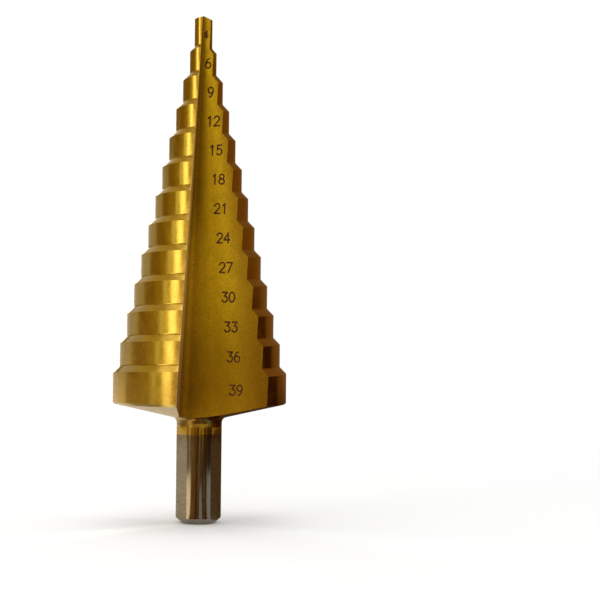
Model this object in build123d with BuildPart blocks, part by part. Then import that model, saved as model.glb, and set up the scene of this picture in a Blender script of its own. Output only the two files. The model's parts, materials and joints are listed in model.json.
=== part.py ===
"""Step drill, one ground piece: 13 steps from 4 to 39 mm, two straight flutes, tri-flat shank.

The drill stands on its shank end. The origin is the centre of that end, +Z runs up the axis to
the point, and the number face of the front flute looks towards -Y. It cuts turning to the right:
seen from above the point, it turns anticlockwise.
"""

import os
from math import cos, radians, sin, tan

from build123d import *

# Steps, as their marked sizes
pilot_diameter = 4.0
first_step_diameter = 6.0
step_growth = 3.0  # added to the diameter by each further step
step_count = 12  # steps below the pilot
step_pitch = 6.5  # from one step's edge to the next
last_step_height = 6.9  # from the last step's edge down to the rim of the back cone
shoulder_angle = 45.0  # of the conical shoulders, from the axis
shoulder_fillet = 0.4  # at the root of each shoulder
pilot_height = 7.4  # from the first step's edge up to the point
point_angle = 135.0

# Shank
shank_diameter = 10.0
shank_length = 23.2  # from the end to the back cone
shank_chamfer = 1.3
flat_distance = 4.4  # from the axis to each of the three flats
flat_length = 18.0  # from the end to where the flats begin to run out
flat_runout_radius = 8.0
flat_runout_angle = 40.0
neck_fillet = 1.3  # between the shank and the back cone

# Back of the head
back_cone_height = 3.8  # from the neck up to the rim's edge
rim_chamfer = 0.6

# Lands: the surface falls away behind each cutting edge, from the edge to the heel
land_middle_angle = 198.0  # direction of the first land's middle, from +X
land_half_angle = 56.0
shoulder_relief = 1.45  # how far each shoulder falls towards the shank
point_relief = 0.5
side_relief = 0.02  # how far each side falls inwards, as a share of its radius

# Flutes: a root line from the point down to the neck, with a flat wall on each side of it
root_at_point = (-0.12, -0.31)
root_at_neck = (-4.27, -5.19)
root_radius_at_point = 0.35
root_radius_at_neck = 1.4
cutting_face_angle = 267.0  # direction from the root out along the cutting face
number_face_angle = 338.0  # direction from the root out along the number face

# Sizes that follow
shank_radius = shank_diameter / 2
head_radius = (first_step_diameter + step_growth * (step_count - 1)) / 2
rim_level = shank_length + back_cone_height
first_step_level = rim_level + last_step_height + step_pitch * (step_count - 1)
point_level = first_step_level + pilot_height
cutter_margin = head_radius  # how far the cutting tools reach past the head


def half_ring(radius, edge_level, cone_angle, relief):
    """Half of one step, on the +X side: an off-centre cylinder under a cone that leans back."""
    edge_share = sin(radians(land_half_angle))  # how far from the middle line the cutting edge is
    offset = side_relief * radius / (2 * edge_share)
    cone_height = radius / tan(radians(cone_angle))
    lean = relief * sin(radians(cone_angle)) ** 2 / (2 * edge_share * radius)
    apex_level = edge_level + cone_height - relief / 2
    cone_plane = Plane(origin=(0, 0, apex_level), x_dir=(0, cos(lean), sin(lean)), z_dir=(1, 0, 0))
    with BuildPart() as ring:
        with BuildSketch(Plane.YZ):
            with Locations((offset, edge_level)):
                Rectangle(radius - offset * edge_share, 2 * ring_reach, align=(Align.MIN, Align.CENTER))
        revolve(axis=Axis((0, offset, 0), (0, 0, 1)), revolution_arc=-180)
        with BuildSketch(cone_plane):
            with BuildLine():
                Polyline(
                    (0, 0),
                    (2 * radius, -2 * cone_height),
                    (2 * radius, -2 * cone_height - 2 * ring_reach),
                    (0, -2 * cone_height - 2 * ring_reach),
                    close=True,
                )
            make_face()
        revolve(axis=Axis(cone_plane.origin, cone_plane.y_dir), revolution_arc=-180, mode=Mode.INTERSECT)
    return ring.part


# One land with its half of the head, its middle line towards +X; each ring reaches into the next
ring_reach = head_radius
point_height = pilot_diameter / 2 / tan(radians(point_angle / 2))
pilot_edge_level = point_level - point_height + point_relief / 2
rings = [half_ring(pilot_diameter / 2, pilot_edge_level, point_angle / 2, point_relief)]
for step in range(step_count):
    step_radius = (first_step_diameter + step_growth * step) / 2
    rings.append(half_ring(step_radius, first_step_level - step_pitch * step, shoulder_angle, shoulder_relief))
with BuildPart() as land:
    add(rings)
    fillet([edge for edge in land.edges() if edge.is_interior], shoulder_fillet)

# The space round the shank, below the back cone and outside the chamfer of its rim
with BuildPart() as shank_space:
    with BuildSketch(Plane.XZ) as shank_outline:
        with BuildLine():
            Polyline(
                (shank_radius - shank_chamfer, 0),
                (shank_radius, shank_chamfer),
                (shank_radius, shank_length),
                (head_radius - rim_chamfer, rim_level - rim_chamfer),
                (head_radius + cutter_margin, rim_level + cutter_margin),
                (head_radius + cutter_margin, -cutter_margin),
                (shank_radius - shank_chamfer, -cutter_margin),
                close=True,
            )
        make_face()
        neck_corner = shank_outline.vertices().sort_by_distance((shank_radius, shank_length))[0]
        fillet(neck_corner, neck_fillet)
    revolve(axis=Axis.Z)

# One chip flute, lofted between a wedge below the neck and one with a smaller root past the point
with BuildPart() as flute:
    for level in (shank_length - cutter_margin, point_level + point_height):
        share = (point_level - level) / (point_level - shank_length)
        root = Vector(root_at_point) * (1 - share) + Vector(root_at_neck) * share
        root_radius = root_radius_at_point * (1 - share) + root_radius_at_neck * share
        with BuildSketch(Plane.XY.offset(level)) as wedge:
            with BuildLine():
                cutting_face = PolarLine(root, head_radius + cutter_margin, cutting_face_angle)
                number_face = PolarLine(root, head_radius + cutter_margin, number_face_angle)
                Line(cutting_face @ 1, number_face @ 1)
            make_face()
            fillet(wedge.vertices().sort_by_distance(root)[0], root_radius)
    loft(ruled=True)

# The grinding wheel's cut for one flat, running out in an arc towards the head
with BuildPart() as flat_cut:
    with BuildSketch(Plane.XZ):
        with BuildLine():
            flat_end = (flat_distance, flat_length)
            runout = JernArc(flat_end, (0, 1), flat_runout_radius, -flat_runout_angle)
            Polyline(runout @ 1, (shank_diameter, -shank_chamfer), (flat_distance, -shank_chamfer), flat_end)
        make_face()
    extrude(amount=shank_radius, both=True)

with BuildPart() as step_drill:
    with PolarLocations(0, 2, start_angle=land_middle_angle):
        add(land.part)
    Cylinder(shank_diameter, rim_level, align=(Align.CENTER, Align.CENTER, Align.MIN))
    add(shank_space.part, mode=Mode.SUBTRACT)
    with PolarLocations(0, 2):
        add(flute.part, mode=Mode.SUBTRACT)
    with PolarLocations(0, 3, start_angle=90):
        add(flat_cut.part, mode=Mode.SUBTRACT)

step_drill.part.label = "step_drill"

os.makedirs("parts", exist_ok=True)
export_step(step_drill.part, "parts/step_drill.step")
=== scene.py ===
"""A step drill on its shank end: coated head, bare shank, size marks, and a small white studio.

It is laid out as an add-on. Each group of pieces has an operator, and a panel in the sidebar of
the 3D view lists them with the sizes and colours that they use.
"""

import json
import math

import bpy
from bpy.props import FloatProperty, FloatVectorProperty, IntProperty, PointerProperty
from mathutils import Matrix, Quaternion, Vector

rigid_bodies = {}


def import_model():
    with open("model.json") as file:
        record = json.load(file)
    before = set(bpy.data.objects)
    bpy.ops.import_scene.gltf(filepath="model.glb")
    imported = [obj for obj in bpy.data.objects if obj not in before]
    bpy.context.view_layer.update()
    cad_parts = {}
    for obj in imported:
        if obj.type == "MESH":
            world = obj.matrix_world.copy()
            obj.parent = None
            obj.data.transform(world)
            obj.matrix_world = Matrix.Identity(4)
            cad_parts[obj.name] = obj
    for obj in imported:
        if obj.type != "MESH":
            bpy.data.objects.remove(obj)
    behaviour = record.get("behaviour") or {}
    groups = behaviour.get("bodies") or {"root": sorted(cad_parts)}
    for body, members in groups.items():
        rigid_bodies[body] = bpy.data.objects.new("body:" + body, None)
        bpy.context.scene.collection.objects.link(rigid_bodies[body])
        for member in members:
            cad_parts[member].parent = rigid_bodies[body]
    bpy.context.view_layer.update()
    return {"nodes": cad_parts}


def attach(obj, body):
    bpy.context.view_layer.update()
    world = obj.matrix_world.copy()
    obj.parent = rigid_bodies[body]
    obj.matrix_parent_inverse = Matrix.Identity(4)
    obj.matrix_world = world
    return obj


bl_info = {
    "name": "Step drill",
    "version": (1, 0, 0),
    "blender": (4, 5, 0),
    "location": "3D View > Sidebar > Step drill",
    "description": "Finishes a packed step drill, marks its sizes and sets it in a white studio",
    "category": "Object",
}

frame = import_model()

TOOL = frame["nodes"]["step_drill"]

MILLIMETRE = 0.001
WHITE = (1.0, 1.0, 1.0, 1.0)

# Directions on the tool. For each flute face, the widest triangle that looks along it is read
NUMBER_DIRECTION = Vector((-0.374, -0.925, 0.068))
CUTTING_DIRECTION = Vector((0.998, -0.052, -0.043))
SAME_DIRECTION = 0.995  # cosine over which two directions count as one
FLAT_ANGLES = (90, 210, 330)  # degrees from +X that the shank's flats face
HALF_TURN = (-1.0, -1.0, 1.0)  # takes a place in the back flute to the front one

# Ranges over which a mask goes from 0 to 1. Distances in front of a flute's faces:
FLUTE_SKIN = (-0.00006, -0.00002)
CUTTING_FACE_SKIN = (0.00012, 0.00004)
CLEAR_OF_ROOT = (0.0008, 0.0020)
EDGE_WEAR_FULL = -0.00005  # where the land's wear is full; it starts at its width behind the face
# The same as shares of the distance down from the flutes' apex, which their depth follows:
FLUTE_APEX = 0.122  # height at which the flutes would end in a point
OFF_ROOT = (0.0, 0.075)
OFF_HEEL = (0.20, 0.12)
NEAR_ROOT = (0.085, 0.015)
CHIP_WEAR = (0.035, 0.060)
# Heights on the tool:
UPPER_FLUTE = (0.056, 0.074)
DEEP_FLUTE = (0.056, 0.028)
HEAD_START = (0.0230, 0.0232)
NECK_START = (0.0212, 0.0220)
FLAT_END = (0.0215, 0.0212)
# Heights over the coating's end:
COATING_START = (-0.0001, 0.0001)
STAIN_START = (-0.0030, -0.0002)
# Parts of the normal, upwards and along a flat's direction:
FACING_DOWN = (-0.3, -0.6)
FACING_FLAT = (0.89, 0.91)

# Noise in the steel and in the etched scale: scale along each axis for a millimetre, detail, roughness
PATTERNS = {
    "wander": ((0.25, 0.25, 0.02), 1.0, 0.5),
    "grain": ((2.4, 2.4, 2.4), 4.0, 0.7),
    "patches": ((0.5, 0.5, 0.35), 3.0, 0.55),
    "nicks": ((1.6, 1.6, 1.6), 3.0, 0.6),
    "cross_grinding": ((0.5, 0.5, 3.5), 3.0, 0.65),
    "streaks": ((2.2, 2.2, 0.04), 2.0, 0.5),
    "pits": ((1.9, 1.9, 1.9), 2.0, 0.5),
}
TURNING_NOISE = (0.15, 2.0, 0.6)  # its scale is across the axis; along it, the pitch gives it
ETCHING_NOISE = ((1.2, 1.2, 1.2), 3.0, 0.5)

# Values of a noise between which its effect grows from none to full. NOISE_SPAN holds nearly all
NOISE_SPAN = (0.3, 0.7)
STREAK_SPAN = (0.35, 0.65)
NICK_SPAN = (0.52, 0.62)
PIT_SPAN = (0.66, 0.74)
ETCHING_SPAN = (0.4, 0.65)

# Shares of a colour, where a pattern is low and where it is high
LAND_SPECKS = (0.92, 1.10)
FLUTE_SPECKS = (0.78, 1.10)
CLOUDS = (0.93, 1.05)
GROUND_LINES = (1.0, 1.55)
PITS = (1.0, 0.72)
RING_SHARE = 0.85  # of the land colour, on the coated ring of the shank: painted shade below the head
PALE_SCALE = 1.8  # of the marks' colour, where their scale is pale

# How far a pattern wears the coating, moves its end in metres, and changes the roughness
NICK_WEAR = (0.0, 0.6)
END_WANDER = 0.0001
LAND_POLISH = (-0.03, 0.05)
SHANK_POLISH = (-0.03, 0.06)

# Relief of the patterns, and what the bump makes of it
LAND_GRAIN = 0.1
FLUTE_GRAIN = 1.4
SHANK_STREAKS = 0.3
BUMP_STRENGTH = 0.5
BUMP_DISTANCE = 0.000008

# Drawing of the size marks
DIGIT_FACET = 15  # degrees that one straight part of a round stroke turns through
CLOSED_GAP = 0.001  # ends of a stroke that are nearer than this make it a ring
PEN_SIDES = 8
BALL_SEGMENTS = 12
BALL_RINGS = 6

# Stage
FADE_START = 0.2  # where the floor starts to fade, as a share of where it is plain white
CARD_FACET = 5  # degrees that one flat facet of a card turns through
TOP_LAMP_SHARE = 2.2  # the lamp's diameter, against the radius of the opening below it
# Heights of the cards on the floor, in metres. Those that overlap have different ones
CARD_LEVEL = 0.0002
PATCH_LEVEL = 0.0003
DARK_CARD_LEVEL = 0.0004
# Other lengths on the stage, in metres:
STRIP_DROP = 0.001  # from the card overhead down to its bright strip
TOP_LAMP_GAP = 0.01  # from the card overhead up to the lamp
CLIP_START = 0.01  # nearest and farthest that the camera sees
CLIP_END = 20.0

# Layout of a node tree in its editor
NODE_SPACING = (200, 260)
NODES_IN_ROW = 12
OUTPUT_PLACE = (2600, 0)


def widest_face(direction):
    """Normal and centre of the tool's largest triangle that looks along a direction."""
    along = direction.normalized()
    facing = [face for face in TOOL.data.polygons if face.normal.dot(along) > SAME_DIRECTION]
    widest = max(facing, key=lambda face: face.area)
    return widest.normal.copy(), widest.center.copy()


def spaced_angles(start, end, facet):
    """Evenly spaced angles in radians, between two in degrees and about a facet apart."""
    count = max(1, round(abs(end - start) / facet))
    return [math.radians(start + (end - start) * number / count) for number in range(count + 1)]


NUMBER_NORMAL, NUMBER_POINT = widest_face(NUMBER_DIRECTION)
CUTTING_NORMAL, CUTTING_POINT = widest_face(CUTTING_DIRECTION)
FLAT_DIRECTIONS = [Vector((math.cos(a), math.sin(a), 0.0)) for a in map(math.radians, FLAT_ANGLES)]


# Sizes and colours


def length(name, description, default):
    """A length in metres, shown in the scene's unit."""
    return FloatProperty(name=name, description=description, default=default, unit="LENGTH", precision=5)


def angle(name, description, degrees):
    """An angle, given in degrees and shown in the scene's unit."""
    return FloatProperty(
        name=name, description=description, default=math.radians(degrees), subtype="ANGLE"
    )


def colour(name, description, default):
    """A linear colour."""
    return FloatVectorProperty(
        name=name, description=description, default=default, subtype="COLOR", size=3, min=0.0, max=1.0
    )


def share(name, description, default):
    """A share from 0 to 1."""
    return FloatProperty(
        name=name, description=description, default=default, subtype="FACTOR", min=0.0, max=1.0
    )


def whole_number(name, description, default):
    """A whole number from 1."""
    return IntProperty(name=name, description=description, default=default, min=1)


def brightness(name, description, default):
    """A lamp's radiance, which is 1 for the white world."""
    return FloatProperty(name=name, description=description, default=default, min=0.0)


class StepDrillFinish(bpy.types.PropertyGroup):
    """The coating of the head and the bare steel of the shank."""

    land_colour: colour("Land colour", "Coating on the turned lands", (0.56, 0.350, 0.060))
    # The flute colour and the middle colour paint light and shade on the number faces: darker at the roots
    # and heels, lighter halfway across
    flute_colour: colour("Flute colour", "Coating near the flutes' roots and heels", (0.50, 0.305, 0.028))
    painted_light_middle_colour: colour("Middle colour", "Coating halfway across the number faces", (0.75, 0.545, 0.042))
    # The edge colour is wear on the lands behind the cutting edges, and on the cutting faces partly wear
    # and partly a painted edge highlight
    edge_wear_and_highlight_colour: colour("Edge colour", "Worn coating on the cutting faces", (0.72, 0.56, 0.34))
    back_colour: colour("Back colour", "Thin coating on the cone behind the head", (0.43, 0.335, 0.125))
    # The neck colour is painted shade in the fillet under the head
    neck_colour: colour("Neck colour", "Coating in the fillet above the shank", (0.30, 0.18, 0.045))
    steel_colour: colour("Steel colour", "Bare ground steel of the shank", (0.30, 0.26, 0.21))
    stained_colour: colour("Stained colour", "Steel just below the coating's end", (0.24, 0.17, 0.10))
    coating_end: length("Coating end", "Height on the shank where the coating stops", 0.0197)
    land_roughness: share("Land roughness", "Roughness of the turned lands", 0.18)
    flute_roughness: share("Flute roughness", "Roughness of the ground flute faces", 0.80)
    neck_roughness: share("Neck roughness", "Roughness of the fillet above the shank", 0.28)
    steel_roughness: share("Steel roughness", "Roughness of the shank's round parts", 0.11)
    flat_roughness: share("Flat roughness", "Roughness of the shank's cross-ground flats", 0.48)
    turning_pitch: length("Turning pitch", "Spacing of the fine marks round the lands", 0.00030)
    wear_width: length("Wear width", "How far the wear reaches behind the cutting edges", 0.0004)
    # Root shade and deep shade are painted shade: darker upper roots of the flutes, and darker lower ends
    # of the flutes
    root_shade: colour("Root shade", "Share of the colour left at the upper roots", (0.56, 0.48, 0.42))
    deep_shade: colour("Deep shade", "Share of the colour left at the deep ends", (0.70, 0.59, 0.52))


class StepDrillMarks(bpy.types.PropertyGroup):
    """The size marks on the number face of the front flute, one on each step."""

    mark_count: whole_number("Mark count", "Steps that carry a mark", 13)
    pilot_size: whole_number("Pilot size", "Number on the pilot", 4)
    first_size: whole_number("First size", "Number on the step below the pilot", 6)
    size_growth: whole_number("Size growth", "Added to the number by each further step", 3)
    mark_height: length("Mark height", "Height of a digit", 0.00215)
    digit_advance: length("Digit advance", "From one digit's middle to the next", 0.00168)
    stroke_width: length("Stroke width", "Width of the etched line", 0.00036)
    stroke_rise: length("Stroke rise", "Height of the etched line's scale over the face", 0.00002)
    pilot_scale: share("Pilot scale", "Size of the pilot's digit against the others", 0.78)
    pilot_level: length("Pilot mark level", "Height of the pilot's mark on the tool", 0.10845)
    step_pitch: length("Step pitch", "From one step down to the next", 0.0065)
    last_drop: length("Last drop", "How much lower the last step's mark sits in its step", 0.0007)
    first_reach: length("First reach", "From the axis out to the pilot's mark, along the face", 0.00079)
    reach_growth: length("Reach growth", "Added to the reach by each step", 0.00084)
    mark_colour: colour("Mark colour", "Scale left by the etching", (0.050, 0.012, 0.001))
    mark_roughness: share("Mark roughness", "Roughness of the scale", 0.7)
    mark_reflection: share("Mark reflection", "How strongly the scale reflects", 0.15)


class StepDrillStudio(bpy.types.PropertyGroup):
    """Camera, lamps and the white surroundings."""

    camera_distance: length("Camera distance", "From the tool's axis to the camera", 0.350)
    camera_height: length("Camera height", "Height of the camera over the floor", 0.04326)
    camera_yaw: angle("Camera yaw", "Turn to the right", 3.622)
    camera_pitch: angle("Camera pitch", "Tilt upwards", 1.043)
    camera_roll: angle("Camera roll", "Turn about the line of sight", 0.57)
    camera_lens: FloatProperty(
        name="Camera lens", description="Focal length in millimetres", default=94.2, unit="CAMERA"
    )
    floor_size: length("Floor size", "Width of the floor", 8.0)
    floor_colour: colour("Floor colour", "Pale floor under the tool", (0.90, 0.90, 0.90))
    floor_roughness: share("Floor roughness", "Roughness of the floor", 0.9)
    floor_fade: length("Floor fade", "Distance from the tool at which the floor is plain white", 0.30)
    card_radius: length("Card radius", "From the tool out to the reflection cards", 0.70)
    card_height: length("Card height", "Top of the reflection cards", 0.60)
    ceiling_opening: length("Ceiling opening", "Radius of the opening in the card overhead", 0.17)
    lamp_distance: length("Lamp distance", "From the tool's axis to the key lamp and the back lamp", 0.50)
    key_angle: angle("Key angle", "From the front round to the key lamp, to the left", 51.0)
    key_tilt: angle("Key tilt", "Turn of the key lamp in its own plane", 24.0)
    key_level: length("Key level", "Height of the key lamp's middle", 0.20)
    key_width: length("Key width", "Width of the key lamp", 0.105)
    key_length: length("Key length", "From the key lamp's lower end to its upper end", 0.45)
    key_brightness: brightness("Key brightness", "Radiance of the key lamp", 2.4)
    back_angle: angle("Back angle", "From the front round to the back lamp, to the left", 170.0)
    back_level: length("Back level", "Height of the back lamp's middle", 0.12)
    back_width: length("Back width", "Width of the back lamp", 0.08)
    back_length: length("Back length", "From the back lamp's lower end to its upper end", 0.24)
    back_brightness: brightness("Back brightness", "Radiance of the back lamp", 2.0)
    top_brightness: brightness("Top brightness", "Radiance of the lamp overhead", 1.8)


# Cards that only reflections see, between two angles in degrees left of the front.
# Cards round the tool: from, to, reach at which the part on the floor starts, radiance of that
# part, radiance of the upright part
CARDS = {
    "card_front_left": (40, 20, 0.006, (0.28, 0.12, 0.020), (0.68, 0.55, 0.21)),
    "card_front": (20, -3, 0.006, (0.10, 0.030, 0.004), (1.60, 1.45, 0.52)),
    "card_front_gap": (-3, -16, 0.085, (0.10, 0.030, 0.004), (1.60, 1.45, 0.52)),
    "card_front_right": (-16, -40, 0.006, (0.08, 0.020, 0.004), (2.10, 1.90, 0.66)),
    "card_right_gap": (-40, -62, 0.125, (0.04, 0.010, 0.003), (0.95, 0.80, 0.26)),
    "card_right": (-62, -140, 0.006, (0.06, 0.020, 0.006), (0.21, 0.095, 0.016)),
    "card_back_right": (-140, -180, 0.006, (0.08, 0.035, 0.012), (0.22, 0.11, 0.035)),
    "card_back": (180, 150, 0.006, (0.75, 0.62, 0.46), (0.60, 0.56, 0.48)),
    "card_back_left": (150, 112, 0.006, (1.00, 0.93, 0.82), (0.48, 0.46, 0.38)),
    "card_left": (112, 84, 0.006, (0.50, 0.43, 0.30), (0.27, 0.175, 0.03)),
    "card_left_front": (84, 66, 0.006, (0.40, 0.33, 0.20), (0.38, 0.28, 0.03)),
    "card_pale": (66, 59, 0.006, (0.50, 0.40, 0.20), (1.0, 1.0, 0.60)),
    "card_key_side": (59, 40, 0.115, (0.30, 0.21, 0.09), (0.66, 0.61, 0.08)),
}
# Darker cards in front of those: from, to, profile of reach and height, radiance
DARK_CARDS = {
    "card_low_right": (
        -96,
        -124,
        ((0.14, DARK_CARD_LEVEL), (0.66, DARK_CARD_LEVEL), (0.66, 0.062)),
        (0.03, 0.008, 0.003),
    ),
    "card_band_left": (180, 112, ((0.66, 0.150), (0.66, 0.260)), (0.24, 0.17, 0.03)),
}
# Patches on the floor, in the gaps between the cards: from, to, start, end, radiance
FLOOR_PATCHES = {
    "patch_front_gap": (-3, -16, 0.006, 0.085, (0.42, 0.39, 0.38)),
    "patch_right_gap": (-40, -62, 0.006, 0.125, (0.48, 0.50, 0.52)),
    "patch_key_side": (58, 41, 0.006, 0.115, (1.9, 1.6, 1.0)),
}
# Halves of the card overhead: from, to, radiance
CEILING = {
    "ceiling_left": (180, 0, (0.52, 0.44, 0.16)),
    "ceiling_right": (0, -180, (0.26, 0.17, 0.05)),
}
# Bright strip under that card: from, to, start, end, radiance
CEILING_STRIPS = {
    "ceiling_key": (118, 104, 0.180, 0.330, (1.9, 1.9, 1.5)),
}


# Node helpers


def add_node(tree, kind, inputs=None, **settings):
    """Adds a node with its settings. An input is a plain value or another node's output."""
    made = tree.nodes.new(kind)
    row, column = divmod(len(tree.nodes), NODES_IN_ROW)
    made.location = (NODE_SPACING[0] * column, -NODE_SPACING[1] * row)
    for name, value in settings.items():
        setattr(made, name, value)
    for socket, value in (inputs or {}).items():
        if isinstance(value, bpy.types.NodeSocket):
            tree.links.new(value, made.inputs[socket])
        else:
            made.inputs[socket].default_value = value
    return made


def maths(tree, operation, first, second=0.0, third=0.0, clamp=False):
    """The result of a Math node."""
    inputs = {0: first, 1: second, 2: third}
    return add_node(tree, "ShaderNodeMath", inputs, operation=operation, use_clamp=clamp).outputs[0]


def product(tree, first, *others):
    """Several numbers multiplied."""
    for other in others:
        first = maths(tree, "MULTIPLY", first, other)
    return first


def dot(tree, first, second):
    """The dot product of two vectors."""
    inputs = {0: first, 1: second}
    return add_node(tree, "ShaderNodeVectorMath", inputs, operation="DOT_PRODUCT").outputs["Value"]


def upward_part(tree, vector):
    """A vector's part along Z."""
    return add_node(tree, "ShaderNodeSeparateXYZ", {0: vector}).outputs["Z"]


def place_in_millimetres(tree):
    """The place on the piece, in millimetres."""
    place = add_node(tree, "ShaderNodeTexCoord").outputs["Object"]
    inputs = {"Vector": place, "Scale": (1 / MILLIMETRE,) * 3}
    return add_node(tree, "ShaderNodeMapping", inputs).outputs[0]


def ramp(tree, value, low, high, from_value=0.0, to_value=1.0, smooth=True):
    """A value carried from one range to another, held at its ends."""
    return add_node(
        tree,
        "ShaderNodeMapRange",
        {"Value": value, "From Min": low, "From Max": high, "To Min": from_value, "To Max": to_value},
        interpolation_type="SMOOTHSTEP" if smooth else "LINEAR",
    ).outputs["Result"]


def mix_colour(tree, factor, first, second, blend="MIX"):
    """Two colours mixed by a factor. The node's sockets share their names, so they go by number."""
    node = add_node(tree, "ShaderNodeMix", {0: factor}, data_type="RGBA", blend_type=blend)
    for socket, value in ((6, first), (7, second)):
        if isinstance(value, bpy.types.NodeSocket):
            tree.links.new(value, node.inputs[socket])
        else:
            node.inputs[socket].default_value = (*value, 1.0)
    return node.outputs[2]


def mix_value(tree, factor, first, second):
    """Two numbers mixed by a factor."""
    return add_node(tree, "ShaderNodeMix", {0: factor, 2: first, 3: second}, data_type="FLOAT").outputs[0]


def stretched_noise(tree, place, scale, detail, roughness):
    """Noise on a place in millimetres, with its own scale along each axis."""
    mapping = add_node(tree, "ShaderNodeMapping", {"Vector": place, "Scale": scale})
    inputs = {"Vector": mapping.outputs[0], "Scale": 1.0, "Detail": detail, "Roughness": roughness}
    return add_node(tree, "ShaderNodeTexNoise", inputs).outputs["Fac"]


def emptied_tree(owner):
    """The node tree of a material or a world, without the nodes that it starts with."""
    owner.use_nodes = True
    owner.node_tree.nodes.clear()
    return owner.node_tree


def new_material(name):
    """A node material with a Principled shader and its output."""
    material = bpy.data.materials.new(name)
    tree = emptied_tree(material)
    shader = add_node(tree, "ShaderNodeBsdfPrincipled")
    output = add_node(tree, "ShaderNodeOutputMaterial", {"Surface": shader.outputs[0]})
    output.location = OUTPUT_PLACE
    return material, tree, shader


# Materials


def plane_distance(tree, place, normal, point):
    """How far a place lies in front of a plane."""
    return maths(tree, "SUBTRACT", dot(tree, place, normal), normal.dot(point))


def flute_masks(tree, place, wear_width):
    """Masks of the front flute and the wear beside it, by name."""
    over_number_face = plane_distance(tree, place, NUMBER_NORMAL, NUMBER_POINT)
    over_cutting_face = plane_distance(tree, place, CUTTING_NORMAL, CUTTING_POINT)
    inside = ramp(tree, maths(tree, "MINIMUM", over_number_face, over_cutting_face), *FLUTE_SKIN)
    clear_of_root = ramp(tree, over_number_face, *CLEAR_OF_ROOT)
    on_cutting_face = ramp(tree, over_cutting_face, *CUTTING_FACE_SKIN)
    off_cutting_face = maths(tree, "SUBTRACT", inside, on_cutting_face, clamp=True)
    height = upward_part(tree, place)
    depth = maths(tree, "SUBTRACT", FLUTE_APEX, height)

    # Chips wear the coating off the land behind the cutting edge. The pale outer part of the cutting face
    # is partly that wear and partly a painted highlight, where its edge catches the key lamp
    outer_part = ramp(tree, maths(tree, "DIVIDE", over_number_face, depth), *CHIP_WEAR)
    behind_edge = ramp(tree, over_cutting_face, -wear_width, EDGE_WEAR_FULL)

    # Painted light and shade: the middle of the number face is made lighter than its root and its heel,
    # where the cutting face's wall shades it
    share_out = maths(tree, "DIVIDE", over_cutting_face, depth)
    off_root = ramp(tree, share_out, *OFF_ROOT, smooth=False)
    off_heel = ramp(tree, share_out, *OFF_HEEL)
    near_root = ramp(tree, share_out, *NEAR_ROOT)
    return {
        "flute": inside,
        "chip_wear_and_highlight": product(tree, inside, on_cutting_face, clear_of_root, outer_part),
        "behind_edge": product(tree, behind_edge, clear_of_root),
        # Where the number face gets its painted lighter middle
        "middle": product(tree, inside, off_root, off_heel),
        "upper_root": product(tree, off_cutting_face, near_root, ramp(tree, height, *UPPER_FLUTE)),
    }


def flat_mask(tree, normal):
    """Mask of the directions that the shank's flats face."""
    parts = [dot(tree, normal, direction) for direction in FLAT_DIRECTIONS]
    largest = maths(tree, "MAXIMUM", parts[0], maths(tree, "MAXIMUM", parts[1], parts[2]))
    return ramp(tree, largest, *FACING_FLAT)


def tool_masks(tree, wander, finish):
    """Masks of the tool's surfaces, by name."""
    coordinates = add_node(tree, "ShaderNodeTexCoord").outputs
    place, normal = coordinates["Object"], coordinates["Normal"]
    height = upward_part(tree, place)
    turn_inputs = {0: place, 1: HALF_TURN}
    turned_place = add_node(tree, "ShaderNodeVectorMath", turn_inputs, operation="MULTIPLY").outputs[0]
    front, back = (flute_masks(tree, each, finish.wear_width) for each in (place, turned_place))
    masks = {name: maths(tree, "MAXIMUM", front[name], back[name]) for name in front}

    end_levels = (finish.coating_end - END_WANDER, finish.coating_end + END_WANDER)
    above_end = maths(tree, "SUBTRACT", height, ramp(tree, wander, *NOISE_SPAN, *end_levels))
    masks["coated"] = ramp(tree, above_end, *COATING_START)
    masks["stained"] = ramp(tree, above_end, *STAIN_START)
    masks["head"] = ramp(tree, height, *HEAD_START)
    masks["neck"] = ramp(tree, height, *NECK_START)
    masks["flat"] = product(tree, flat_mask(tree, normal), ramp(tree, height, *FLAT_END))
    masks["back_cone"] = ramp(tree, upward_part(tree, normal), *FACING_DOWN)
    masks["deep"] = product(tree, masks["flute"], ramp(tree, height, *DEEP_FLUTE))
    return masks


def tool_colour(tree, masks, patterns, finish):
    """The coating's colour with its wear, its painted light and shade and its painted edge highlight, and
    the bare steel's.
    """
    # Painted light and shade on the flutes: the darker root and heel colour blends into a lighter middle
    flute_coating_and_light = mix_colour(tree, masks["middle"], finish.flute_colour, finish.painted_light_middle_colour)
    coating = mix_colour(tree, masks["flute"], finish.land_colour, flute_coating_and_light)
    nicked = product(tree, masks["behind_edge"], ramp(tree, patterns["nicks"], *NICK_SPAN, *NICK_WEAR))
    wear_and_edge_highlight = maths(tree, "MAXIMUM", masks["chip_wear_and_highlight"], nicked)
    # Pale wear, and on the cutting faces a painted edge highlight
    coating = mix_colour(tree, wear_and_edge_highlight, coating, finish.edge_wear_and_highlight_colour)
    coating = mix_colour(tree, masks["back_cone"], coating, finish.back_colour)

    # Painted shade: the coated ring below the head is a darker copy of the land colour
    ring_colour = tuple(RING_SHARE * channel for channel in finish.land_colour)
    coating = mix_colour(tree, masks["head"], ring_colour, coating)
    # Painted shade: the fillet under the head is darkened
    in_fillet = maths(tree, "SUBTRACT", masks["neck"], masks["head"], clamp=True)
    coating = mix_colour(tree, in_fillet, coating, finish.neck_colour)

    bare = mix_colour(tree, masks["stained"], finish.steel_colour, finish.stained_colour)
    mixed = mix_colour(tree, masks["coated"], bare, coating)
    # Painted shade: the flutes' upper roots and their deep lower ends are darkened
    mixed = mix_colour(tree, masks["upper_root"], mixed, finish.root_shade, "MULTIPLY")
    return mix_colour(tree, masks["deep"], mixed, finish.deep_shade, "MULTIPLY")


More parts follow.
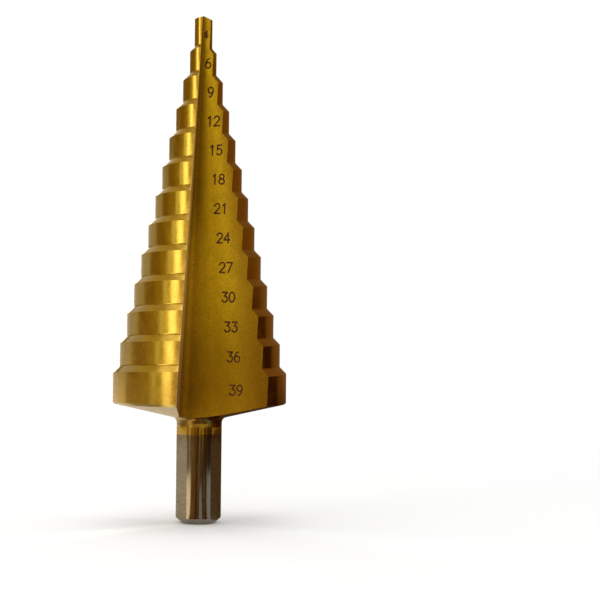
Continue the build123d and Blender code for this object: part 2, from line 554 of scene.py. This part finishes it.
def tool_shade(tree, masks, patterns):
    """What the specks, clouds, pits and ground lines multiply the colour by."""
    speck_limits = [mix_value(tree, masks["flute"], *pair) for pair in zip(LAND_SPECKS, FLUTE_SPECKS)]
    specks = ramp(tree, patterns["grain"], *NOISE_SPAN, *speck_limits, smooth=False)
    clouds = ramp(tree, patterns["patches"], *NOISE_SPAN, *CLOUDS, smooth=False)
    pits = ramp(tree, patterns["pits"], *PIT_SPAN, *PITS)
    lines = ramp(tree, patterns["cross_grinding"], *NOISE_SPAN, *GROUND_LINES, smooth=False)
    return product(tree, specks, clouds, pits, mix_value(tree, masks["flat"], 1.0, lines))


def tool_roughness(tree, masks, patterns, finish):
    """The roughness of the lands, the flutes, the fillet, the shank and its flats."""
    land_limits = [finish.land_roughness + reach for reach in LAND_POLISH]
    land = ramp(tree, patterns["patches"], *NOISE_SPAN, *land_limits)
    head = mix_value(tree, masks["flute"], land, finish.flute_roughness)
    round_limits = [finish.steel_roughness + reach for reach in SHANK_POLISH]
    round_part = ramp(tree, patterns["streaks"], *STREAK_SPAN, *round_limits)
    round_part = mix_value(tree, masks["neck"], round_part, finish.neck_roughness)
    shank = mix_value(tree, masks["flat"], round_part, finish.flat_roughness)
    return mix_value(tree, masks["head"], shank, head)


def tool_relief(tree, masks, patterns):
    """The bump's normal: turning marks, grain in the flutes, ground lines on the flats."""
    grain = patterns["grain"]
    land = maths(tree, "ADD", patterns["turning"], product(tree, grain, LAND_GRAIN))
    head = mix_value(tree, masks["flute"], land, product(tree, grain, FLUTE_GRAIN))
    round_part = product(tree, patterns["streaks"], SHANK_STREAKS)
    shank = mix_value(tree, masks["flat"], round_part, patterns["cross_grinding"])
    relief = mix_value(tree, masks["head"], shank, head)
    inputs = {"Strength": BUMP_STRENGTH, "Distance": BUMP_DISTANCE, "Height": relief}
    return add_node(tree, "ShaderNodeBump", inputs).outputs[0]


def coated_steel(finish):
    """The tool's one material: coating on the head, bare steel below the coating's end."""
    material, tree, shader = new_material("coated_tool_steel")
    millimetres = place_in_millimetres(tree)
    patterns = {name: stretched_noise(tree, millimetres, *noise) for name, noise in PATTERNS.items()}
    across, *detail = TURNING_NOISE
    turning_scale = (across, across, MILLIMETRE / finish.turning_pitch)
    patterns["turning"] = stretched_noise(tree, millimetres, turning_scale, *detail)

    masks = tool_masks(tree, patterns["wander"], finish)
    shading = {0: tool_colour(tree, masks, patterns, finish), "Scale": tool_shade(tree, masks, patterns)}
    shaded = add_node(tree, "ShaderNodeVectorMath", shading, operation="SCALE").outputs[0]
    tree.links.new(shaded, shader.inputs["Base Color"])
    tree.links.new(tool_roughness(tree, masks, patterns, finish), shader.inputs["Roughness"])
    tree.links.new(tool_relief(tree, masks, patterns), shader.inputs["Normal"])
    shader.inputs["Metallic"].default_value = 1.0
    return material


def etched_scale(marks):
    """Dark scale of the etched size marks."""
    material, tree, shader = new_material("etched_scale")
    millimetres = place_in_millimetres(tree)
    pale_patches = ramp(tree, stretched_noise(tree, millimetres, *ETCHING_NOISE), *ETCHING_SPAN)
    pale_colour = tuple(PALE_SCALE * channel for channel in marks.mark_colour)
    patched = mix_colour(tree, pale_patches, marks.mark_colour, pale_colour)
    tree.links.new(patched, shader.inputs["Base Color"])
    shader.inputs["Roughness"].default_value = marks.mark_roughness
    shader.inputs["Specular IOR Level"].default_value = marks.mark_reflection
    return material


def floor_material(studio):
    """A pale matte floor that turns plain white away from the tool and keeps its shadow near it."""
    material, tree, shader = new_material("floor")
    shader.inputs["Base Color"].default_value = (*studio.floor_colour, 1.0)
    shader.inputs["Roughness"].default_value = studio.floor_roughness
    place = add_node(tree, "ShaderNodeTexCoord").outputs["Object"]
    distance = add_node(tree, "ShaderNodeVectorMath", {0: place}, operation="LENGTH").outputs["Value"]
    away = ramp(tree, distance, FADE_START * studio.floor_fade, studio.floor_fade)
    path = add_node(tree, "ShaderNodeLightPath").outputs
    seen = maths(tree, "MAXIMUM", path["Is Camera Ray"], path["Is Glossy Ray"])
    seen = maths(tree, "MAXIMUM", seen, path["Is Transmission Ray"])
    white = add_node(tree, "ShaderNodeEmission", {"Color": WHITE, "Strength": 1.0}).outputs[0]
    surfaces = {0: product(tree, away, seen), 1: shader.outputs[0], 2: white}
    mixed = add_node(tree, "ShaderNodeMixShader", surfaces).outputs[0]
    tree.links.new(mixed, tree.nodes["Material Output"].inputs["Surface"])
    return material


def card_material(name, radiance):
    """A card of one even brightness."""
    material = bpy.data.materials.new(name)
    tree = emptied_tree(material)
    light = add_node(tree, "ShaderNodeEmission", {"Color": (*radiance, 1.0), "Strength": 1.0})
    add_node(tree, "ShaderNodeOutputMaterial", {"Surface": light.outputs[0]})
    return material


# Digits, drawn with one round stroke in a box one unit high


def line(start, end):
    """A straight stroke."""
    return [start, end]


def arc(centre, radii, start, end):
    """A stroke along an ellipse, between two angles in degrees."""
    angles = spaced_angles(start, end, DIGIT_FACET)
    return [(centre[0] + radii[0] * math.cos(a), centre[1] + radii[1] * math.sin(a)) for a in angles]


def digit_strokes():
    """The strokes of the digits 0 to 9, in that order."""
    two_bowl = arc((0.0, 0.22), (0.28, 0.28), 170, -35)
    three_bowl = arc((0.0, -0.19), (0.29, 0.31), 95, -155)
    five_bowl = arc((0.0, -0.18), (0.29, 0.32), 140, -150)
    six = [arc((0.0, -0.2), (0.28, 0.3), 0, 360), arc((0.16, -0.2), (0.44, 0.7), 95, 180)]
    return [
        [arc((0.0, 0.0), (0.29, 0.5), 0, 360)],
        [line((-0.16, 0.3), (0.04, 0.5)), line((0.04, 0.5), (0.04, -0.5))],
        [two_bowl, line(two_bowl[-1], (-0.28, -0.5)), line((-0.28, -0.5), (0.3, -0.5))],
        [line((-0.25, 0.5), (0.26, 0.5)), line((0.26, 0.5), three_bowl[0]), three_bowl],
        [
            line((0.14, 0.5), (-0.3, -0.2)),
            line((-0.3, -0.2), (0.32, -0.2)),
            line((0.14, 0.5), (0.14, -0.5)),
        ],
        [line((0.24, 0.5), (-0.19, 0.5)), line((-0.19, 0.5), five_bowl[0]), five_bowl],
        six,
        [line((-0.28, 0.5), (0.28, 0.5)), line((0.28, 0.5), (-0.1, -0.5))],
        [arc((0.0, 0.26), (0.23, 0.24), 0, 360), arc((0.0, -0.23), (0.28, 0.27), 0, 360)],
        [[(-x, -y) for x, y in stroke] for stroke in six],
    ]


def digit_collection():
    """A collection of ten digit curves, sorted by name so that a digit is its own index."""
    digits = bpy.data.collections.new("digits")
    for number, strokes in enumerate(digit_strokes()):
        drawn = bpy.data.curves.new(f"digit_{number}", "CURVE")
        drawn.dimensions = "3D"
        for stroke in strokes:
            closed = math.dist(stroke[0], stroke[-1]) < CLOSED_GAP
            places = stroke[:-1] if closed else stroke
            spline = drawn.splines.new("POLY")
            spline.points.add(len(places) - 1)
            for point, (x, y) in zip(spline.points, places):
                point.co = (x, y, 0.0, 1.0)
            spline.use_cyclic_u = closed
        digits.objects.link(bpy.data.objects.new(drawn.name, drawn))
    return digits


# Size marks


# Inputs of the tree that writes them
MARK_INPUTS = {
    "Digits": "NodeSocketCollection",
    "Mark Count": "NodeSocketInt",
    "Pilot Size": "NodeSocketInt",
    "First Size": "NodeSocketInt",
    "Size Growth": "NodeSocketInt",
    "Mark Height": "NodeSocketFloat",
    "Pilot Scale": "NodeSocketFloat",
    "Digit Advance": "NodeSocketFloat",
    "Stroke Width": "NodeSocketFloat",
    "Stroke Rise": "NodeSocketFloat",
    "First Reach": "NodeSocketFloat",
    "Reach Growth": "NodeSocketFloat",
    "First Level": "NodeSocketFloat",
    "Step Pitch": "NodeSocketFloat",
    "Last Drop": "NodeSocketFloat",
    "Face Origin": "NodeSocketVector",
    "Face Turn": "NodeSocketVector",
    "Material": "NodeSocketMaterial",
}


def digit_places(tree, given):
    """For each place: its digit, where on the face it stands, its size and whether it is written."""
    # Two places on each step: the tens, then the units
    index = add_node(tree, "GeometryNodeInputIndex").outputs[0]
    step = maths(tree, "FLOOR", maths(tree, "MULTIPLY", index, 0.5))
    units_place = maths(tree, "MODULO", index, 2.0)
    on_pilot = maths(tree, "LESS_THAN", step, 0.5)
    steps_grown = maths(tree, "SUBTRACT", step, 1.0)
    step_size = maths(tree, "MULTIPLY_ADD", steps_grown, given["Size Growth"], given["First Size"])
    size = mix_value(tree, on_pilot, step_size, given["Pilot Size"])
    tens = maths(tree, "FLOOR", maths(tree, "DIVIDE", maths(tree, "ADD", size, 0.5), 10.0))
    units = maths(tree, "SUBTRACT", size, maths(tree, "MULTIPLY", tens, 10.0))
    digit = mix_value(tree, units_place, tens, maths(tree, "ROUND", units))
    two_digits = maths(tree, "GREATER_THAN", tens, 0.5)
    written = maths(tree, "MAXIMUM", units_place, two_digits)

    side_share = maths(tree, "MULTIPLY", maths(tree, "SUBTRACT", units_place, 0.5), two_digits)
    reach = maths(tree, "MULTIPLY_ADD", step, given["Reach Growth"], given["First Reach"])
    across = maths(tree, "MULTIPLY_ADD", side_share, given["Digit Advance"], reach)
    on_last = maths(tree, "GREATER_THAN", step, maths(tree, "SUBTRACT", given["Mark Count"], 1.5))
    drop = maths(tree, "MULTIPLY", on_last, given["Last Drop"])
    fall = maths(tree, "MULTIPLY_ADD", step, given["Step Pitch"], drop)
    level = maths(tree, "SUBTRACT", given["First Level"], fall)
    place = add_node(tree, "ShaderNodeCombineXYZ", {"X": across, "Y": level}).outputs[0]

    pilot_share = mix_value(tree, on_pilot, 1.0, given["Pilot Scale"])
    scale = maths(tree, "MULTIPLY", given["Mark Height"], pilot_share)
    return digit, place, scale, written


def pen_lines(tree, strokes, given):
    """The strokes drawn by a round pen, with a ball at their ends, pressed flat."""
    pen_radius = maths(tree, "MULTIPLY", given["Stroke Width"], 0.5)
    pen_inputs = {"Resolution": PEN_SIDES, "Radius": pen_radius}
    pen = add_node(tree, "GeometryNodeCurvePrimitiveCircle", pen_inputs).outputs[0]
    drawn_inputs = {"Curve": strokes, "Profile Curve": pen, "Fill Caps": True}
    drawn = add_node(tree, "GeometryNodeCurveToMesh", drawn_inputs).outputs[0]
    ball_inputs = {"Segments": BALL_SEGMENTS, "Rings": BALL_RINGS, "Radius": pen_radius}
    ball = add_node(tree, "GeometryNodeMeshUVSphere", ball_inputs).outputs[0]
    ends = add_node(tree, "GeometryNodeCurveEndpointSelection").outputs[0]
    capped_inputs = {"Points": strokes, "Selection": ends, "Instance": ball}
    capped = add_node(tree, "GeometryNodeInstanceOnPoints", capped_inputs).outputs[0]
    joined = add_node(tree, "GeometryNodeJoinGeometry")
    tree.links.new(drawn, joined.inputs[0])
    tree.links.new(capped, joined.inputs[0])
    flatness = maths(tree, "DIVIDE", given["Stroke Rise"], pen_radius)
    flat_scale = add_node(tree, "ShaderNodeCombineXYZ", {"X": 1.0, "Y": 1.0, "Z": flatness}).outputs[0]
    pressed_inputs = {"Geometry": joined.outputs[0], "Scale": flat_scale}
    return add_node(tree, "GeometryNodeTransform", pressed_inputs).outputs[0]


def mark_tree():
    """Geometry Nodes that write each step's size, from a rule for the sizes and their places."""
    tree = bpy.data.node_groups.new("size_marks", "GeometryNodeTree")
    for name, kind in MARK_INPUTS.items():
        tree.interface.new_socket(name, in_out="INPUT", socket_type=kind)
    tree.interface.new_socket("Geometry", in_out="OUTPUT", socket_type="NodeSocketGeometry")
    given = add_node(tree, "NodeGroupInput").outputs

    digit, place, scale, written = digit_places(tree, given)
    count = maths(tree, "MULTIPLY", given["Mark Count"], 2.0)
    places = add_node(tree, "GeometryNodePoints", {"Count": count, "Position": place}).outputs[0]
    digits_inputs = {"Collection": given["Digits"], "Separate Children": True, "Reset Children": True}
    digits = add_node(tree, "GeometryNodeCollectionInfo", digits_inputs).outputs[0]
    written_inputs = {
        "Points": places,
        "Selection": written,
        "Instance": digits,
        "Pick Instance": True,
        "Instance Index": digit,
        "Scale": scale,
    }
    sizes = add_node(tree, "GeometryNodeInstanceOnPoints", written_inputs).outputs[0]
    strokes = add_node(tree, "GeometryNodeRealizeInstances", {"Geometry": sizes}).outputs[0]
    lines = pen_lines(tree, strokes, given)

    turn_inputs = {"Geometry": lines, "Translation": given["Face Origin"], "Rotation": given["Face Turn"]}
    on_face = add_node(tree, "GeometryNodeTransform", turn_inputs).outputs[0]
    smooth = add_node(tree, "GeometryNodeSetShadeSmooth", {"Geometry": on_face}).outputs[0]
    solid = add_node(tree, "GeometryNodeRealizeInstances", {"Geometry": smooth}).outputs[0]
    finish_inputs = {"Geometry": solid, "Material": given["Material"]}
    finished = add_node(tree, "GeometryNodeSetMaterial", finish_inputs).outputs[0]
    add_node(tree, "NodeGroupOutput", {0: finished})
    return tree


def number_face_frame():
    """Where the number face's plane meets the axis, with its directions outwards, up and off it."""
    origin = Vector((0.0, 0.0, NUMBER_NORMAL.dot(NUMBER_POINT) / NUMBER_NORMAL.z))
    outwards = Vector((-NUMBER_NORMAL.y, NUMBER_NORMAL.x, 0.0)).normalized()
    upwards = NUMBER_NORMAL.cross(outwards)
    return origin, outwards, upwards


def mark_values(marks):
    """A value for each input of the marks' tree."""
    origin, outwards, upwards = number_face_frame()
    return {
        "Digits": digit_collection(),
        "Mark Count": marks.mark_count,
        "Pilot Size": marks.pilot_size,
        "First Size": marks.first_size,
        "Size Growth": marks.size_growth,
        "Mark Height": marks.mark_height,
        "Pilot Scale": marks.pilot_scale,
        "Digit Advance": marks.digit_advance,
        "Stroke Width": marks.stroke_width,
        "Stroke Rise": marks.stroke_rise,
        "First Reach": marks.first_reach,
        "Reach Growth": marks.reach_growth,
        "First Level": (marks.pilot_level - origin.z) / upwards.z,
        "Step Pitch": marks.step_pitch / upwards.z,
        "Last Drop": marks.last_drop,
        "Face Origin": origin,
        "Face Turn": Vector(Matrix((outwards, upwards, NUMBER_NORMAL)).transposed().to_euler()),
        "Material": etched_scale(marks),
    }


def link_object(name, data):
    """A new object in the scene."""
    made = bpy.data.objects.new(name, data)
    bpy.context.scene.collection.objects.link(made)
    return made


def applied(source, name):
    """A plain mesh object with the source's modifiers applied; the source is removed."""
    evaluated = source.evaluated_get(bpy.context.evaluated_depsgraph_get())
    mesh = bpy.data.meshes.new_from_object(evaluated)
    mesh.name = name
    bpy.data.objects.remove(source)
    return link_object(name, mesh)


# Stage


def ring_card(name, from_angle, to_angle, profile, radiances):
    """A card swept round the tool along a profile of reach and height; only reflections see it."""
    angles = spaced_angles(from_angle, to_angle, CARD_FACET)
    count = len(angles)
    corners = [
        (-reach * math.sin(a), -reach * math.cos(a), level) for reach, level in profile for a in angles
    ]
    faces = [
        (row * count + i, row * count + i + 1, (row + 1) * count + i + 1, (row + 1) * count + i)
        for row in range(len(profile) - 1)
        for i in range(count - 1)
    ]
    mesh = bpy.data.meshes.new(name)
    mesh.from_pydata(corners, [], faces)
    for number, radiance in enumerate(radiances):
        mesh.materials.append(card_material(f"{name}_{number}", radiance))
    for face in mesh.polygons:
        face.material_index = min(face.index // (count - 1), len(radiances) - 1)
    card = link_object(name, mesh)
    card.visible_camera = False
    card.visible_diffuse = False
    card.visible_shadow = False
    card.visible_transmission = False


def studio_cards(studio):
    """The cards round the tool, on the floor near it, and overhead."""
    reach, top = studio.card_radius, studio.card_height
    for name, (from_angle, to_angle, inset, ground, wall) in CARDS.items():
        profile = ((inset, CARD_LEVEL), (reach, CARD_LEVEL), (reach, top))
        ring_card(name, from_angle, to_angle, profile, (ground, wall))
    for name, (from_angle, to_angle, profile, radiance) in DARK_CARDS.items():
        ring_card(name, from_angle, to_angle, profile, (radiance,))
    for name, (from_angle, to_angle, start, end, radiance) in FLOOR_PATCHES.items():
        ring_card(name, from_angle, to_angle, ((start, PATCH_LEVEL), (end, PATCH_LEVEL)), (radiance,))
    for name, (from_angle, to_angle, radiance) in CEILING.items():
        profile = ((studio.ceiling_opening, top), (reach, top))
        ring_card(name, from_angle, to_angle, profile, (radiance,))
    for name, (from_angle, to_angle, start, end, radiance) in CEILING_STRIPS.items():
        profile = ((start, top - STRIP_DROP), (end, top - STRIP_DROP))
        ring_card(name, from_angle, to_angle, profile, (radiance,))


def softbox(name, place, size, radiance, tilt=0.0):
    """A rectangular lamp that looks at the tool's axis, placed by angle, distance and height."""
    angle_left, distance, level = place
    width, tall = size
    lamp = bpy.data.lights.new(name, "AREA")
    lamp.shape = "RECTANGLE"
    lamp.size = width
    lamp.size_y = tall
    lamp.energy = radiance * math.pi * width * tall
    made = link_object(name, lamp)
    made.location = (-distance * math.sin(angle_left), -distance * math.cos(angle_left), level)
    aim = Vector((0.0, 0.0, level)) - made.location
    turn = aim.to_track_quat("-Z", "Y") @ Quaternion((0.0, 0.0, 1.0), tilt)
    made.rotation_euler = turn.to_euler()


def top_lamp(studio):
    """A round lamp over the opening in the card overhead."""
    lamp = bpy.data.lights.new("top_lamp", "AREA")
    lamp.shape = "DISK"
    lamp.size = TOP_LAMP_SHARE * studio.ceiling_opening
    lamp.energy = studio.top_brightness * math.pi**2 * (lamp.size / 2) ** 2
    link_object("top_lamp", lamp).location = (0.0, 0.0, studio.card_height + TOP_LAMP_GAP)


def studio_lamps(studio):
    """The key lamp at the front left, the back lamp and the one overhead."""
    key_place = (studio.key_angle, studio.lamp_distance, studio.key_level)
    key_size = (studio.key_width, studio.key_length)
    softbox("key_lamp", key_place, key_size, studio.key_brightness, studio.key_tilt)
    back_place = (studio.back_angle, studio.lamp_distance, studio.back_level)
    back_size = (studio.back_width, studio.back_length)
    softbox("back_lamp", back_place, back_size, studio.back_brightness)
    top_lamp(studio)


def camera_matrix(studio):
    """The camera's place and turn: it looks along +Y, turned right by the yaw and up by the pitch."""
    yaw, pitch, roll = studio.camera_yaw, studio.camera_pitch, studio.camera_roll
    forward = Vector((math.sin(yaw) * math.cos(pitch), math.cos(yaw) * math.cos(pitch), math.sin(pitch)))
    level_right = Vector((math.cos(yaw), -math.sin(yaw), 0.0))
    level_up = level_right.cross(forward)
    right = level_right * math.cos(roll) + level_up * math.sin(roll)
    up = level_up * math.cos(roll) - level_right * math.sin(roll)
    turn = Matrix((right, up, -forward)).transposed().to_4x4()
    return Matrix.Translation((0.0, -studio.camera_distance, studio.camera_height)) @ turn


def build_camera(studio):
    """The scene's camera."""
    camera = link_object("camera", bpy.data.cameras.new("camera"))
    camera.data.lens = studio.camera_lens
    camera.data.clip_start = CLIP_START
    camera.data.clip_end = CLIP_END
    camera.matrix_world = camera_matrix(studio)
    bpy.context.scene.camera = camera


def build_floor(studio):
    """The floor that the tool stands on."""
    half = studio.floor_size / 2
    corners = [(-half, -half, 0.0), (half, -half, 0.0), (half, half, 0.0), (-half, half, 0.0)]
    mesh = bpy.data.meshes.new("floor")
    mesh.from_pydata(corners, [], [(0, 1, 2, 3)])
    mesh.materials.append(floor_material(studio))
    link_object("floor", mesh)


def build_world():
    """A white world of strength 1."""
    world = bpy.data.worlds.new("studio")
    tree = emptied_tree(world)
    light = add_node(tree, "ShaderNodeBackground", {"Color": WHITE, "Strength": 1.0})
    add_node(tree, "ShaderNodeOutputWorld", {"Surface": light.outputs[0]})
    bpy.context.scene.world = world


# Operators


class STEPDRILL_OT_finish_tool(bpy.types.Operator):
    """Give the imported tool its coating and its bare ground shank"""

    bl_idname = "stepdrill.finish_tool"
    bl_label = "Finish the tool"

    def execute(self, context):
        TOOL.material_slots[0].material = coated_steel(context.scene.step_drill_finish)
        return {"FINISHED"}


class STEPDRILL_OT_mark_sizes(bpy.types.Operator):
    """Etch each step's size on the number face of the front flute"""

    bl_idname = "stepdrill.mark_sizes"
    bl_label = "Mark the sizes"

    def execute(self, context):
        values = mark_values(context.scene.step_drill_marks)
        carrier = link_object("size_marks_carrier", bpy.data.meshes.new("size_marks_carrier"))
        modifier = carrier.modifiers.new("Size marks", "NODES")
        modifier.node_group = mark_tree()
        for socket in modifier.node_group.interface.items_tree:
            if socket.in_out == "INPUT":
                modifier[socket.identifier] = values[socket.name]
        made = applied(carrier, "size_marks")
        for digit in list(values["Digits"].objects):
            bpy.data.objects.remove(digit)
        bpy.data.collections.remove(values["Digits"])
        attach(made, "root")
        return {"FINISHED"}


class STEPDRILL_OT_build_stage(bpy.types.Operator):
    """Set the pale floor, the lamps, the cards for reflections, the world and the camera"""

    bl_idname = "stepdrill.build_stage"
    bl_label = "Build the stage"

    def execute(self, context):
        studio = context.scene.step_drill_studio
        build_floor(studio)
        studio_lamps(studio)
        studio_cards(studio)
        build_world()
        build_camera(studio)
        context.scene.view_settings.view_transform = "Standard"
        return {"FINISHED"}


class STEPDRILL_PT_panel(bpy.types.Panel):
    """Lists the operators with their sizes and colours"""

    bl_idname = "STEPDRILL_PT_panel"
    bl_label = "Step drill"
    bl_space_type = "VIEW_3D"
    bl_region_type = "UI"
    bl_category = "Step drill"

    def draw(self, context):
        for operator, settings in (
            (STEPDRILL_OT_finish_tool, context.scene.step_drill_finish),
            (STEPDRILL_OT_mark_sizes, context.scene.step_drill_marks),
            (STEPDRILL_OT_build_stage, context.scene.step_drill_studio),
        ):
            box = self.layout.box()
            box.operator(operator.bl_idname)
            for name in settings.__annotations__:
                box.prop(settings, name)


CLASSES = (
    StepDrillFinish,
    StepDrillMarks,
    StepDrillStudio,
    STEPDRILL_OT_finish_tool,
    STEPDRILL_OT_mark_sizes,
    STEPDRILL_OT_build_stage,
    STEPDRILL_PT_panel,
)


def register():
    """Registers the classes and gives the scene its settings."""
    for each in CLASSES:
        bpy.utils.register_class(each)
    bpy.types.Scene.step_drill_finish = PointerProperty(type=StepDrillFinish)
    bpy.types.Scene.step_drill_marks = PointerProperty(type=StepDrillMarks)
    bpy.types.Scene.step_drill_studio = PointerProperty(type=StepDrillStudio)


def unregister():
    """Takes the settings and the classes away again."""
    del bpy.types.Scene.step_drill_studio
    del bpy.types.Scene.step_drill_marks
    del bpy.types.Scene.step_drill_finish
    for each in reversed(CLASSES):
        bpy.utils.unregister_class(each)


def main():
    """Runs the operators in order."""
    register()
    bpy.ops.stepdrill.finish_tool()
    bpy.ops.stepdrill.mark_sizes()
    bpy.ops.stepdrill.build_stage()


if __name__ == "__main__":
    main()
